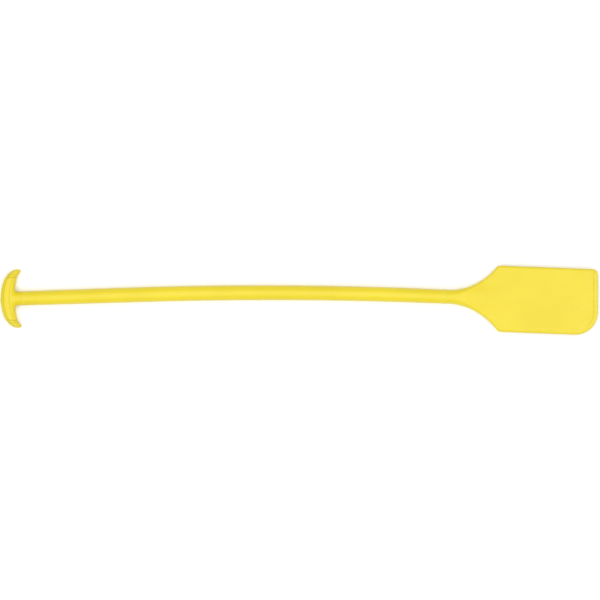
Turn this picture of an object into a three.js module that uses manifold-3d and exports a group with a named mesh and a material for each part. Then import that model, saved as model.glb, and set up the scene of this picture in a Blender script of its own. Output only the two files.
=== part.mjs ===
// A T-grip boat paddle lying flat on the floor, grip towards -X and blade towards +X.
// Millimetres, +Z up. The floor is z = 0 and the middle of the bounding box is x = y = 0.
//
// The paddle's centre line is drawn once: a straight stretch behind the grip, a shallow bow, and a
// straight stretch through the blade. "Distance" is measured along it from the grip's outer end, and
// "along" is the same from a group's own origin. Pieces at the grip end and at the blade end are
// straight, so each end is a group set on that line. The jacket, the tube and the foam rod follow the bow.

import * as THREE from 'three';
import { mergeVertices, toCreasedNormals } from 'three/addons/utils/BufferGeometryUtils.js';
import Module from 'manifold-3d';

const wasm = await Module();
wasm.setup();

// ---------------------------------------------------------------- driving dimensions

const GAP = 0.3; // clearance between neighbouring pieces
const PAST = 5; // how far a cutter reaches outside what it cuts
const WELD = 1e-4; // vertices closer than this are one
const CREASE_ANGLE = 0.6; // in radians: edges sharper than this are shaded as edges
const BORE_SEGMENTS = 48; // round the larger bores and the cap

// Centre line
const AXIS_HEIGHT = 15.5; // over the floor
const GRIP_END = new THREE.Vector2(-660.5, 2.4); // where the centre line starts
const GRIP_HEADING = THREE.MathUtils.degToRad(1.8);
const BLADE_HEADING = THREE.MathUtils.degToRad(-2.2);
const BOW_START = 300;
const BOW_END = 935;

// Shaft: an oval jacket over a round tube
const SHAFT_HALF_WIDTH = 15.4;
const SHAFT_HALF_HEIGHT = 15.2;
const SHAFT_SWELL = 0.8; // added to the half width where the shaft is fullest
const SWELL_SHIFT = 0.75; // below 1, the fullest place is nearer the grip
const TUBE_RADIUS = 12.5;
const TUBE_BORE = 10;
const FOAM_ROD_SLACK = 1; // between the foam rod and the grip's plug, and twice that at the blade's
const SOCKET_RADIUS = TUBE_RADIUS + GAP; // of every bore that takes the tube

// T-grip
const GRIP_HALF_DEPTH = 15.5; // of the bar, at its middle
const GRIP_HALF_HEIGHT = 15.5;
const GRIP_BAR_TURN = THREE.MathUtils.degToRad(-1); // the bar is not quite square to the shaft
const GRIP_SQUARENESS = 0.8; // power of the section's sine and cosine: 1 is an ellipse
const HORN_THINNING = 0.25; // share of the depth lost towards the tips, besides the rounding
const HORN_TIP_HALF = 0.01; // half the thickness left at the very tips
const COLLAR_START = 20;
const COLLAR_END = 46; // distance where the jacket takes over
const COLLAR_FLARE = 5.5; // extra half width at the collar's start
const HORN_GROOVES = [47.5, 53.2, 59]; // from the grip's middle, on both horns
const HORN_GROOVE_WIDTH = 1.6;
const HORN_GROOVE_DEPTH = 0.9;

// What holds the grip, as distances from its outer end
const CAP_RADIUS = 8.4;
const CAP_DEPTH = 3.2;
const COUNTERBORE_RADIUS = 7.8;
const COUNTERBORE_DEPTH = 8.6;
const WASHER_THICKNESS = 1.2;
const WASHER_BACK = COUNTERBORE_DEPTH - GAP;
const HEAD_RADIUS = 5.4;
const HEAD_HEIGHT = 3.3;
const HEAD_BACK = WASHER_BACK - WASHER_THICKNESS - GAP;
const SCREW_RADIUS = 2.85;
const SCREW_LENGTH = 40;
const SCREW_END = HEAD_BACK + SCREW_LENGTH;
const SCREW_CHAMFER = 1;
const HEX_SOCKET_RADIUS = 2.3;
const HEX_SOCKET_DEPTH = 2;
const INSERT_RADIUS = 4.5;
const INSERT_LENGTH = 12;

// Plugs that close the tube
const PLUG_RADIUS = TUBE_BORE - 0.5;
const PLUG_FLANGE = 2;
const PLUG_CHAMFER = 1;
const PLUG_GROOVE_HALF = 1.4;
const PLUG_GROOVE_RADIUS = PLUG_RADIUS - 2.1;
const O_RING_CORD = 1.05;
const O_RING_RADIUS = TUBE_BORE - 0.2 - O_RING_CORD;
const GRIP_PLUG_START = 20.3;
const GRIP_PLUG_LENGTH = 36;
const GRIP_PLUG_GROOVE = 29;
const BLADE_PLUG_LENGTH = 46;
const BLADE_PLUG_GROOVE = 42;

// Blade, with its origin at its mouth
const BLADE_MOUTH = 985; // distance where the jacket meets the blade
const BLADE_LENGTH = 336.5;
const BLADE_HALF_WIDTH = 73.2;
const BLADE_HALF_THICKNESS = 6;
const BLADE_EDGE = 6; // how far in the rounding of the sides reaches
const FLARE_START = 8;
const FLARE_CONTROLS = [52, SHAFT_HALF_WIDTH + 0.7, 91, 41]; // of the Bezier curve up to the shoulder
const SHOULDER = new THREE.Vector2(112, 68.7); // where the flare ends and the corner begins
const SHOULDER_BEND = 3.4; // from the shoulder's start to the control point of its corner
const SHOULDER_END = 121;
const SIDE_SHARES = [0.08, 0.16, 0.25, 0.5, 0.75, 1]; // where rings stand along the straight sides
const SMALL_CORNER = 11;
const LARGE_CORNER = 52;
const SKEW = Math.tan(-BLADE_HEADING); // shoulders and tip run square to the whole paddle's X axis
const TIP_EDGE = 1.2; // half the thickness left at the very tip
const TIP_ROUNDING = 3; // how far in the rounding of the tip reaches
const LIP_START = 10; // from the tip: where each face steps down to a nearly flat lip
const LIP_STEP = 1.4; // length of that step
const LIP_HALF_THICKNESS = 3.8;
const LIP_TAPER = 0.08; // half the thickness lost for each millimetre towards the tip
const LIP_LEAD = 5; // length of the slight slope that leads to the step
const LIP_LEAD_DROP = 0.5;
const SPREAD_END = 70; // where the neck's round section has become the blade's flat one
const WING_FADE_END = 92; // where the wings have thinned to the blade's thickness
const SPINE_FADE_START = 36;
const SPINE_FADE_END = 158;
const SPINE_HALF_WIDTH = 42;
const SEAM = GAP; // between the two shells
const SOCKET_DEPTH = 48.6;
const PANEL_START = 128;
const PANEL_END = 306;
const PANEL_HALF_WIDTH = 60;
const PANEL_HALF_THICKNESS = 3.2;
const PANEL_SMALL_CORNER = 8;
const PANEL_LARGE_CORNER = 36;

// Countersunk neck screws, driven in from below
const NECK_SCREW_PLACES = [14, 34];
const NECK_SCREW_RADIUS = 2;
const NECK_HEAD_RADIUS = 4;
const NECK_HEAD_HEIGHT = 2;
const NECK_HEAD_Z = -14.4;
const NECK_TIP_Z = -3;
const NECK_POINT = 2; // length of the pointed end
const NECK_SOCKET_RADIUS = 1.7;
const NECK_SOCKET_DEPTH = 1.2;

// ---------------------------------------------------------------- materials

const YELLOW = 0xf6d92c;
const NYLON = 0xe9e6da;
const GLASS_FIBRE = 0xc9cfae;
const FOAM = 0xf6f5f0;
const RUBBER = 0x1d1d1f;
const STEEL = 0xb9bcc0;
const BRASS = 0xc39a45;

const material = (color, roughness, metalness = 0) =>
  new THREE.MeshStandardMaterial({ color, roughness, metalness });
const yellowPlastic = () => material(YELLOW, 0.42);
const nylon = () => material(NYLON, 0.5);
const foam = () => material(FOAM, 0.95);
const rubber = () => material(RUBBER, 0.7);
const steel = () => material(STEEL, 0.3, 1);

// ---------------------------------------------------------------- the centre line

// Position and heading at a distance along the centre line.
function centreLine(distance) {
  const radius = (BOW_END - BOW_START) / (BLADE_HEADING - GRIP_HEADING);
  const before = Math.min(distance, BOW_START);
  const within = THREE.MathUtils.clamp(distance, BOW_START, BOW_END) - BOW_START;
  const after = Math.max(distance - BOW_END, 0);
  const heading = GRIP_HEADING + within / radius;
  const x = before * Math.cos(GRIP_HEADING)
    + radius * (Math.sin(heading) - Math.sin(GRIP_HEADING))
    + after * Math.cos(BLADE_HEADING);
  const y = before * Math.sin(GRIP_HEADING)
    - radius * (Math.cos(heading) - Math.cos(GRIP_HEADING))
    + after * Math.sin(BLADE_HEADING);
  return { x: GRIP_END.x + x, y: GRIP_END.y + y, heading };
}

// The centre line between two distances, as a path for an extrusion.
class CentreLineStretch extends THREE.Curve {
  constructor(from, to) {
    super();
    this.from = from;
    this.to = to;
  }

  getPoint(t, target = new THREE.Vector3()) {
    const { x, y } = centreLine(THREE.MathUtils.lerp(this.from, this.to, t));
    return target.set(x, y, AXIS_HEIGHT);
  }
}

// A group whose X axis lies along the centre line, with its origin at the given distance.
function groupOnCentreLine(distance) {
  const { x, y, heading } = centreLine(distance);
  const group = new THREE.Group();
  group.position.set(x, y, AXIS_HEIGHT);
  group.rotation.z = heading;
  group.updateMatrix();
  return group;
}

// Turns a point given as distance, sideways and up into its place on the bowed centre line.
function bend(point) {
  const { x, y, heading } = centreLine(point.x);
  const sideways = point.y;
  point.set(
    x - Math.sin(heading) * sideways,
    y + Math.cos(heading) * sideways,
    point.z + AXIS_HEIGHT,
  );
}

// ---------------------------------------------------------------- solids and meshes

// A closed mesh as a solid that can be joined and cut.
function solid(geometry) {
  const bare = geometry.clone();
  bare.deleteAttribute('normal');
  bare.deleteAttribute('uv');
  const merged = mergeVertices(bare, WELD);
  return new wasm.Manifold(new wasm.Mesh({
    numProp: 3,
    vertProperties: merged.attributes.position.array,
    triVerts: Uint32Array.from(merged.index.array),
  }));
}

function meshOf(name, shape, look) {
  const { vertProperties, triVerts } = shape.getMesh();
  const geometry = new THREE.BufferGeometry();
  geometry.setAttribute('position', new THREE.BufferAttribute(vertProperties, 3));
  geometry.setIndex(new THREE.BufferAttribute(triVerts, 1));
  const mesh = new THREE.Mesh(toCreasedNormals(geometry, CREASE_ANGLE), look);
  mesh.name = name;
  return mesh;
}

// A lathe outline from pairs of place along the axis and radius, starting and ending on the axis.
function latheOutline(profile) {
  return profile.map(([along, radius]) => new THREE.Vector2(radius, along));
}

// A piece turned about the X axis.
function turned(profile, segments = 32) {
  const geometry = new THREE.LatheGeometry(latheOutline(profile), segments);
  geometry.rotateZ(-Math.PI / 2);
  return solid(geometry);
}

function rod(radius, from, to, segments = 32) {
  return turned([[from, 0], [from, radius], [to, radius], [to, 0]], segments);
}

function ring(outer, inner, from, to) {
  return rod(outer, from, to).subtract(rod(inner, from - PAST, to + PAST));
}

function oRing(along) {
  const geometry = new THREE.TorusGeometry(O_RING_RADIUS, O_RING_CORD, 8, 32);
  geometry.rotateY(Math.PI / 2);
  geometry.translate(along, 0, 0);
  return solid(geometry);
}

// Moves every vertex of a geometry; place changes the point it is given.
function reshape(geometry, place) {
  const positions = geometry.attributes.position;
  const point = new THREE.Vector3();
  for (let i = 0; i < positions.count; i++) {
    place(point.fromBufferAttribute(positions, i));
    positions.setXYZ(i, point.x, point.y, point.z);
  }
  return solid(geometry);
}

// A rod of unit length and radius along X, to be reshaped: X runs from 0 to 1.
function unitRod(segments, rings) {
  const geometry = new THREE.CylinderGeometry(1, 1, 1, segments, rings);
  geometry.rotateZ(-Math.PI / 2);
  geometry.translate(0.5, 0, 0);
  return geometry;
}

// A plug for one end of the tube. Its flange starts at flangeStart and its stem runs in the direction
// given as 1 or -1, with a groove for an O-ring round the stem.
function plug(flangeStart, direction, length, grooveAt) {
  const inwards = [
    [0, 0],
    [0, TUBE_RADIUS],
    [PLUG_FLANGE, TUBE_RADIUS],
    [PLUG_FLANGE, PLUG_RADIUS],
    [grooveAt - PLUG_GROOVE_HALF, PLUG_RADIUS],
    [grooveAt - PLUG_GROOVE_HALF, PLUG_GROOVE_RADIUS],
    [grooveAt + PLUG_GROOVE_HALF, PLUG_GROOVE_RADIUS],
    [grooveAt + PLUG_GROOVE_HALF, PLUG_RADIUS],
    [length - PLUG_CHAMFER, PLUG_RADIUS],
    [length, PLUG_RADIUS - PLUG_CHAMFER],
    [length, 0],
  ];
  const profile = inwards.map(([depth, radius]) => [flangeStart + direction * depth, radius]);
  return turned(direction > 0 ? profile : profile.reverse());
}

// ---------------------------------------------------------------- grip end

// Half of the grip's bar, seen from above: from its middle, out and round towards the shaft.
const GRIP_SPINE = new THREE.CubicBezierCurve(
  new THREE.Vector2(GRIP_HALF_DEPTH, 0),
  new THREE.Vector2(GRIP_HALF_DEPTH + 1.9, 36),
  new THREE.Vector2(24.2, 56.5),
  new THREE.Vector2(46.5, 61.5),
);
const GRIP_MIDDLE = new THREE.Vector3(GRIP_HALF_DEPTH, 0, 0);
const UP = new THREE.Vector3(0, 0, 1);

// The crescent bar: a ball whose two poles are drawn out into the horns. Its section is squarer than
// an ellipse, and inset makes it thinner all over.
function gripBar(inset) {
  const ball = new THREE.SphereGeometry(1, 28, 36);
  const place = (point) => {
    const reach = Math.min(Math.abs(point.y), 1);
    const middle = GRIP_SPINE.getPoint(reach);
    const tangent = GRIP_SPINE.getTangent(reach);
    const ringRadius = Math.hypot(point.x, point.z) || 1;
    const squared = (value) => Math.sign(value) * Math.abs(value / ringRadius) ** GRIP_SQUARENESS;
    const depthShare = Math.sqrt(1 - reach ** 2) * (1 - HORN_THINNING * reach ** 2);
    const heightShare = Math.sqrt(1 - reach ** 4);
    const across = squared(point.x) * Math.max(GRIP_HALF_DEPTH * depthShare - inset, HORN_TIP_HALF);
    const up = squared(point.z) * Math.max(GRIP_HALF_HEIGHT * heightShare - inset, HORN_TIP_HALF);
    const outwards = Math.sign(point.y) * (middle.y - tangent.x * across);
    point.set(middle.x + tangent.y * across, outwards, up);
    point.sub(GRIP_MIDDLE).applyAxisAngle(UP, GRIP_BAR_TURN).add(GRIP_MIDDLE);
  };
  return reshape(ball, place);
}

// The collar between the bar and the jacket, with a hollow fillet on each side.
function gripCollar() {
  const place = (point) => {
    const halfWidth = SHAFT_HALF_WIDTH + COLLAR_FLARE * (1 - point.x) ** 2;
    const along = THREE.MathUtils.lerp(COLLAR_START, COLLAR_END, point.x);
    point.set(along, point.y * halfWidth, point.z * SHAFT_HALF_HEIGHT);
  };
  return reshape(unitRod(40, 8), place);
}

// Shallow grooves across both horns, as rings that follow the bar's surface.
function hornGrooves() {
  const reach = 60; // further than the bar on every side
  const slabs = HORN_GROOVES.flatMap((across) => [across, -across]).map((across) => {
    const slab = new THREE.BoxGeometry(reach, HORN_GROOVE_WIDTH, reach);
    slab.translate(reach / 2, across, 0);
    return solid(slab);
  });
  return wasm.Manifold.union(slabs).subtract(gripBar(HORN_GROOVE_DEPTH));
}

function grip() {
  return gripBar(0)
    .subtract(hornGrooves())
    .add(gripCollar())
    .subtract(rod(CAP_RADIUS + GAP, -PAST, CAP_DEPTH + GAP, BORE_SEGMENTS))
    .subtract(rod(COUNTERBORE_RADIUS, -PAST, COUNTERBORE_DEPTH))
    .subtract(rod(SCREW_RADIUS + 2 * GAP, 0, COLLAR_END))
    .subtract(rod(SOCKET_RADIUS, GRIP_PLUG_START - GAP, COLLAR_END + PAST, BORE_SEGMENTS));
}

// The cap takes its domed face from the grip's own surface.
function gripCap() {
  return gripBar(0).intersect(rod(CAP_RADIUS, -PAST, CAP_DEPTH, BORE_SEGMENTS));
}

function gripScrew() {
  const front = HEAD_BACK - HEAD_HEIGHT;
  const pan = [
    [front, 0],
    [front, HEAD_RADIUS * 0.62],
    [front + HEAD_HEIGHT * 0.35, HEAD_RADIUS * 0.88],
    [front + HEAD_HEIGHT * 0.75, HEAD_RADIUS],
    [HEAD_BACK, HEAD_RADIUS],
    [HEAD_BACK, SCREW_RADIUS],
    [SCREW_END - SCREW_CHAMFER, SCREW_RADIUS],
    [SCREW_END, SCREW_RADIUS - SCREW_CHAMFER],
    [SCREW_END, 0],
  ];
  const hexSocket = rod(HEX_SOCKET_RADIUS, front - PAST, front + HEX_SOCKET_DEPTH, 6);
  return turned(pan).subtract(hexSocket);
}

function gripPlug() {
  const insertHole = rod(INSERT_RADIUS + GAP, 0, GRIP_PLUG_START + INSERT_LENGTH + 2 * GAP);
  const screwRun = rod(SCREW_RADIUS + GAP, 0, SCREW_END + 1);
  return plug(GRIP_PLUG_START, 1, GRIP_PLUG_LENGTH, GRIP_PLUG_GROOVE)
    .subtract(insertHole)
    .subtract(screwRun);
}

function gripEnd() {
  const screwClearance = SCREW_RADIUS + GAP;
  const insertStart = GRIP_PLUG_START + GAP;
  const washer = ring(
    COUNTERBORE_RADIUS - GAP, screwClearance, WASHER_BACK - WASHER_THICKNESS, WASHER_BACK,
  );
  const insert = ring(INSERT_RADIUS, screwClearance, insertStart, insertStart + INSERT_LENGTH);
  const group = groupOnCentreLine(0);
  group.add(
    meshOf('t_grip', grip(), yellowPlastic()),
    meshOf('grip_button_cap', gripCap(), yellowPlastic()),
    meshOf('grip_screw', gripScrew(), steel()),
    meshOf('grip_screw_washer', washer, steel()),
    meshOf('grip_threaded_insert', insert, material(BRASS, 0.35, 1)),
    meshOf('grip_end_plug', gripPlug(), nylon()),
    meshOf('grip_end_o_ring', oRing(GRIP_PLUG_START + GRIP_PLUG_GROOVE), rubber()),
  );
  return group;
}

// ---------------------------------------------------------------- blade end

// One edge of the blade seen from above, from its mouth to its tip, drawn on the +Y side.
function bladeEdge(cornerRadius) {
  const straightEnd = BLADE_LENGTH - cornerRadius;
  const edge = new THREE.Path();
  edge.moveTo(0, SHAFT_HALF_WIDTH);
  edge.lineTo(FLARE_START, SHAFT_HALF_WIDTH);
  edge.bezierCurveTo(...FLARE_CONTROLS, SHOULDER.x, SHOULDER.y);
  edge.quadraticCurveTo(SHOULDER.x + SHOULDER_BEND, BLADE_HALF_WIDTH, SHOULDER_END, BLADE_HALF_WIDTH);
  for (const share of SIDE_SHARES) {
    edge.lineTo(THREE.MathUtils.lerp(SHOULDER_END, straightEnd, share), BLADE_HALF_WIDTH);
  }
  edge.absarc(straightEnd, BLADE_HALF_WIDTH - cornerRadius, cornerRadius, Math.PI / 2, 0, true);
  return edge.getPoints(10);
}

// The blade's half thickness at a place on its face, before its sides are rounded: thin wings, and a
// spine that carries the shaft's thickness further into the blade.
function bladeHalfThickness(along, across) {
  const fade = (from, to) => 1 - THREE.MathUtils.smoothstep(along, from, to);
  const extra = SHAFT_HALF_HEIGHT - BLADE_HALF_THICKNESS;
  const wing = BLADE_HALF_THICKNESS + extra * fade(FLARE_START, WING_FADE_END);
  const spine = BLADE_HALF_THICKNESS + extra * fade(SPINE_FADE_START, SPINE_FADE_END);
  const fromSpine = Math.min(Math.abs(across) / SPINE_HALF_WIDTH, 1);
  return wing + (spine - wing) * Math.cos((Math.PI / 2) * fromSpine) ** 2;
}

// The whole blade as one block, before its tip is cut and it is split. Each ring of a unit rod is
// stretched between the two edges.
function bladeBlock() {
  const upper = bladeEdge(SMALL_CORNER);
  const lower = bladeEdge(LARGE_CORNER);
  const rings = upper.length - 1;
  const place = (point) => {
    const high = upper[Math.round(point.x * rings)];
    const low = lower[Math.round(point.x * rings)];
    const share = (1 + point.y) / 2;
    const along = THREE.MathUtils.lerp(low.x, high.x, share);
    const across = THREE.MathUtils.lerp(-low.y, high.y, share);
    const halfWidth = (high.y + low.y) / 2;
    const spread = THREE.MathUtils.smoothstep(along, FLARE_START, SPREAD_END);
    const rounding = Math.min(halfWidth, THREE.MathUtils.lerp(SHAFT_HALF_WIDTH, BLADE_EDGE, spread));
    const inwards = Math.min((halfWidth * (1 - Math.abs(point.y))) / rounding, 1);
    const roundOff = Math.sqrt(1 - (1 - inwards) ** 2);
    const up = Math.sign(point.z) * bladeHalfThickness(along, across) * roundOff;
    point.set(along - SKEW * across * spread, across, up);
  };
  return reshape(unitRod(56, rings), place);
}

// Half the thickness near the tip, as pairs of distance from the tip and height: the edge's rounding,
// the lip, the step and the slope that leads to it.
function tipProfile() {
  const lip = (distance) => LIP_HALF_THICKNESS - LIP_TAPER * (LIP_START - distance);
  const stepEnd = LIP_START - LIP_STEP;
  const nose = TIP_ROUNDING / 3;
  const noseShare = Math.sqrt(1 - (1 - nose / TIP_ROUNDING) ** 2);
  return [
    [0, TIP_EDGE],
    [nose, noseShare * lip(nose)],
    [TIP_ROUNDING, lip(TIP_ROUNDING)],
    [stepEnd, lip(stepEnd)],
    [LIP_START, BLADE_HALF_THICKNESS - LIP_LEAD_DROP],
    [LIP_START + LIP_LEAD, BLADE_HALF_THICKNESS],
  ];
}

// What is taken off one face at the tip: side is 1 for the upper and -1 for the lower.
function tipCut(side) {
  const clear = 2 * BLADE_HALF_THICKNESS;
  const beyond = LIP_START + LIP_LEAD;
  const outline = [[-clear, TIP_EDGE], ...tipProfile(), [beyond, clear], [-clear, clear]];
  const points = outline.map(([distance, height]) => new THREE.Vector2(-distance, side * height));
  const shape = new THREE.Shape(points);
  const depth = 4 * BLADE_HALF_WIDTH;
  const cutter = new THREE.ExtrudeGeometry(shape, { depth, bevelEnabled: false });
  cutter.rotateX(Math.PI / 2);
  cutter.translate(0, depth / 2, 0);
  cutter.rotateZ(Math.atan(SKEW));
  cutter.translate(BLADE_LENGTH, 0, 0);
  return solid(cutter);
}

// The foam panel, or its pocket when it is grown by a clearance.
function foamPanel(clearance) {
  const start = PANEL_START - clearance;
  const end = PANEL_END + clearance;
  const half = PANEL_HALF_WIDTH + clearance;
  const small = PANEL_SMALL_CORNER;
  const large = PANEL_LARGE_CORNER;
  const quarter = Math.PI / 2;
  const outline = new THREE.Shape();
  outline.absarc(start + small, small - half, small, 2 * quarter, 3 * quarter, false);
  outline.absarc(end - large, large - half, large, 3 * quarter, 4 * quarter, false);
  outline.absarc(end - small, half - small, small, 0, quarter, false);
  outline.absarc(start + small, half - small, small, quarter, 2 * quarter, false);
  const depth = 2 * (PANEL_HALF_THICKNESS + clearance);
  const panel = new THREE.ExtrudeGeometry(outline, { depth, bevelEnabled: false, curveSegments: 8 });
  panel.translate(0, 0, -depth / 2);
  return solid(panel);
}

// One of the two halves of space that the blade is split into.
function halfSpace(side) {
  const size = 2 * BLADE_LENGTH;
  const half = new THREE.BoxGeometry(size, size, size);
  half.translate(size / 2 - PAST, 0, (side * (size + SEAM)) / 2);
  return solid(half);
}

// A piece turned about an upright axis through a place on the neck.
function turnedUpright(profile, along, placement) {
  const geometry = new THREE.LatheGeometry(latheOutline(profile), 24);
  geometry.rotateX(Math.PI / 2);
  geometry.translate(along, 0, 0);
  geometry.applyMatrix4(placement);
  return solid(geometry);
}

const IN_PLACE = new THREE.Matrix4();

function neckScrew(along) {
  const profile = [
    [NECK_HEAD_Z, 0],
    [NECK_HEAD_Z, NECK_HEAD_RADIUS],
    [NECK_HEAD_Z + NECK_HEAD_HEIGHT, NECK_SCREW_RADIUS],
    [NECK_TIP_Z - NECK_POINT, NECK_SCREW_RADIUS],
    [NECK_TIP_Z, 0],
  ];
  const hexSocket = new THREE.CylinderGeometry(
    NECK_SOCKET_RADIUS, NECK_SOCKET_RADIUS, 2 * NECK_SOCKET_DEPTH, 6,
  );
  hexSocket.rotateX(Math.PI / 2);
  hexSocket.translate(along, 0, NECK_HEAD_Z);
  return turnedUpright(profile, along, IN_PLACE).subtract(solid(hexSocket));
}

// The holes for both neck screws. The placement takes them into the frame of the piece they cut.
function neckScrewHoles(placement) {
  const below = -2 * SHAFT_HALF_HEIGHT;
  const profile = [
    [below, 0],
    [below, NECK_HEAD_RADIUS + GAP],
    [NECK_HEAD_Z, NECK_HEAD_RADIUS + GAP],
    [NECK_HEAD_Z + NECK_HEAD_HEIGHT, NECK_SCREW_RADIUS + GAP],
    [NECK_TIP_Z - NECK_POINT + GAP, NECK_SCREW_RADIUS + GAP],
    [NECK_TIP_Z + GAP, 0],
  ];
  return wasm.Manifold.union(NECK_SCREW_PLACES.map((along) => turnedUpright(profile, along, placement)));
}

function bladeEnd() {
  const block = bladeBlock()
    .subtract(tipCut(1))
    .subtract(tipCut(-1))
    .subtract(rod(SOCKET_RADIUS, -PAST, SOCKET_DEPTH, BORE_SEGMENTS))
    .subtract(foamPanel(GAP));
  const holes = neckScrewHoles(IN_PLACE);
  const plugStart = SOCKET_DEPTH - GAP;
  const endPlug = plug(plugStart, -1, BLADE_PLUG_LENGTH, BLADE_PLUG_GROOVE).subtract(holes);
  const group = groupOnCentreLine(BLADE_MOUTH);
  group.add(
    meshOf('blade_front_shell', block.intersect(halfSpace(1)), yellowPlastic()),
    meshOf('blade_back_shell', block.intersect(halfSpace(-1)).subtract(holes), yellowPlastic()),
    meshOf('blade_foam_panel', foamPanel(0), foam()),
    meshOf('blade_end_plug', endPlug, nylon()),
    meshOf('blade_end_o_ring', oRing(plugStart - BLADE_PLUG_GROOVE), rubber()),
  );
  NECK_SCREW_PLACES.forEach((along, index) => {
    group.add(meshOf(`neck_screw_${index + 1}`, neckScrew(along), steel()));
  });
  return group;
}

// ---------------------------------------------------------------- shaft

function circle(radius) {
  return new THREE.Shape().absarc(0, 0, radius, 0, 2 * Math.PI, false);
}

// A round outline, which may hold a bore, carried along the bow.
function alongBow(outline, from, to) {
  return solid(new THREE.ExtrudeGeometry(outline, {
    steps: 14,
    curveSegments: 12,
    extrudePath: new CentreLineStretch(from, to),
  }));
}

function shaftJacket() {
  const start = COLLAR_END + GAP;
  const end = BLADE_MOUTH - GAP;
  const rings = 20;
  const outside = (point) => {
    const halfWidth = SHAFT_HALF_WIDTH + SHAFT_SWELL * Math.sin(Math.PI * point.x ** SWELL_SHIFT);
    const distance = THREE.MathUtils.lerp(start, end, point.x);
    point.set(distance, point.y * halfWidth, point.z * SHAFT_HALF_HEIGHT);
    bend(point);
  };
  const bore = (point) => {
    const distance = THREE.MathUtils.lerp(start - PAST, end + PAST, point.x);
    point.set(distance, point.y * SOCKET_RADIUS, point.z * SOCKET_RADIUS);
    bend(point);
  };
  return reshape(unitRod(40, rings), outside).subtract(reshape(unitRod(32, rings), bore));
}

function coreTube(bladeMatrix) {
  const outline = circle(TUBE_RADIUS);
  outline.holes.push(circle(TUBE_BORE));
  const start = GRIP_PLUG_START + PLUG_FLANGE + GAP;
  const end = BLADE_MOUTH + SOCKET_DEPTH - PLUG_FLANGE - 2 * GAP;
  return alongBow(outline, start, end).subtract(neckScrewHoles(bladeMatrix));
}

function foamRod() {
  const start = GRIP_PLUG_START + GRIP_PLUG_LENGTH + FOAM_ROD_SLACK;
  const end = BLADE_MOUTH + SOCKET_DEPTH - BLADE_PLUG_LENGTH - 2 * FOAM_ROD_SLACK;
  return alongBow(circle(TUBE_BORE - GAP), start, end);
}

// ---------------------------------------------------------------- assembly

const blade = bladeEnd();
const paddle = new THREE.Group();
paddle.add(
  gripEnd(),
  meshOf('shaft_jacket', shaftJacket(), yellowPlastic()),
  meshOf('core_tube', coreTube(blade.matrix), material(GLASS_FIBRE, 0.5)),
  meshOf('shaft_foam_rod', foamRod(), foam()),
  blade,
);

export default paddle;
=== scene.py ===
import math

import bmesh
import bpy
import numpy as np
from mathutils import Matrix, Vector
from mathutils.bvhtree import BVHTree


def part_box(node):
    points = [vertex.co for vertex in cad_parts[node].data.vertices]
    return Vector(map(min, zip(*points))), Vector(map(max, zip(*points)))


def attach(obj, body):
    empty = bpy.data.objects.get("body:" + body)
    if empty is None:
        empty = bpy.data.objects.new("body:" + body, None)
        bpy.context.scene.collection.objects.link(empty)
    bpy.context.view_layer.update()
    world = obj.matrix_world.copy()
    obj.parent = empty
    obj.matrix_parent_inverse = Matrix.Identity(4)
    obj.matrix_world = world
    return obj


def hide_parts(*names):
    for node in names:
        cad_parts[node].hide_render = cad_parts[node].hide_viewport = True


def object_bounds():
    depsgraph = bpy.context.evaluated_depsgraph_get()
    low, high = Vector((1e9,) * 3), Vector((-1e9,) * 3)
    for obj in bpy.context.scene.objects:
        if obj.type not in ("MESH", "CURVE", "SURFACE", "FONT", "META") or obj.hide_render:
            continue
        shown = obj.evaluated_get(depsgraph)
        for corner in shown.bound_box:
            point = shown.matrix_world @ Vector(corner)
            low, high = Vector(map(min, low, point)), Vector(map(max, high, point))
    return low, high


# The looks of a T-grip boat paddle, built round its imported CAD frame. Metres, +Z up.
#
# Every piece is built again as a fine mesh on the CAD's own centre line and outlines, with the small
# forms that a coarse solid leaves out. "Distance" runs along the centre line from the grip's outer end,
# and "along" is the same from a straight group's own origin.

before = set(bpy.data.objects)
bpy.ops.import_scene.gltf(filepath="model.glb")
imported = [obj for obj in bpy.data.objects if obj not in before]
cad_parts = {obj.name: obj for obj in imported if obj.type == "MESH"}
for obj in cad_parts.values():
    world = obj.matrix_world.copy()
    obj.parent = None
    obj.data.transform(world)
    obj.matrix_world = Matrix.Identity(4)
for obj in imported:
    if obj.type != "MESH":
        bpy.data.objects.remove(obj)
CAD_LOW, CAD_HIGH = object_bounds()
tube_low, tube_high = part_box("core_tube")
jacket_low, jacket_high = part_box("shaft_jacket")

# ---------------------------------------------------------------- driving dimensions, as in the CAD

GAP = 0.0003
AXIS_HEIGHT = (tube_low.z + tube_high.z) / 2
TUBE_RADIUS = (tube_high.z - tube_low.z) / 2
SOCKET_RADIUS = TUBE_RADIUS + GAP

# Centre line
GRIP_END = (-0.6605, 0.0024)
GRIP_HEADING = math.radians(1.8)
BLADE_HEADING = math.radians(-2.2)
BOW_START = 0.300
BOW_END = 0.935

# Shaft
SHAFT_HALF_WIDTH = 0.0154
SHAFT_HALF_HEIGHT = (jacket_high.z - jacket_low.z) / 2
SHAFT_SWELL = 0.0008
SWELL_SHIFT = 0.75

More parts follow.
